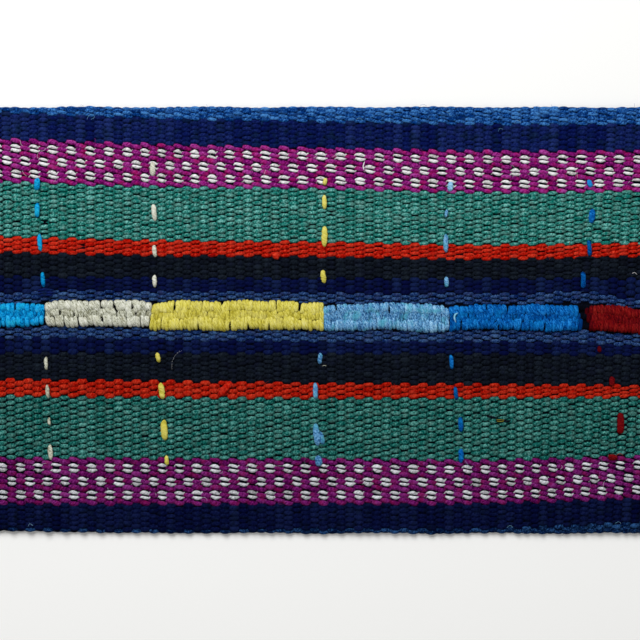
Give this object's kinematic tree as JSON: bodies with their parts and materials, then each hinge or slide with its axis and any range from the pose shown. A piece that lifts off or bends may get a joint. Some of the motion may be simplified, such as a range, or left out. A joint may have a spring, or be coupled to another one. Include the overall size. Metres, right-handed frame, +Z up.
{
  "type": "striped flat-woven rug length",
  "caption": "Cut length of a striped warp-faced wool flatweave, lying flat, with a raised band of coloured wrapped-weft blocks along its middle.",
  "frame": {"origin": "on the floor under the middle of the length, midway between the long sides and between the ends", "axes": "+X along the stripes, towards the end with the dark red block; +Y across the stripes, towards the picture's top; +Z up, out of the face with the blocks"},
  "size_m": [0.2214, 0.1366, 0.0038],
  "materials": {
    "striped_ground": "matte wool, plain weave in coloured stripes",
    "mid_blue_wool": "matte wool yarn",
    "navy_wool": "matte wool yarn",
    "magenta_wool": "matte wool yarn",
    "white_wool": "matte wool yarn",
    "green_wool": "matte wool yarn, heathered",
    "red_wool": "matte wool yarn",
    "black_wool": "matte wool yarn",
    "slate_wool": "matte wool yarn",
    "bright_blue_wool": "soft thick wool weft",
    "cream_wool": "soft thick wool weft",
    "yellow_wool": "soft thick wool weft",
    "light_blue_wool": "soft thick wool weft",
    "azure_wool": "soft thick wool weft",
    "dark_red_wool": "soft thick wool weft"
  },
  "bodies": {
    "root": {"cloth": "striped_ground", "block_bright_blue": "bright_blue_wool", "block_cream": "cream_wool", "block_yellow": "yellow_wool", "block_light_blue": "light_blue_wool", "block_azure": "azure_wool", "block_dark_red": "dark_red_wool"}
  },
  "joints": []
}
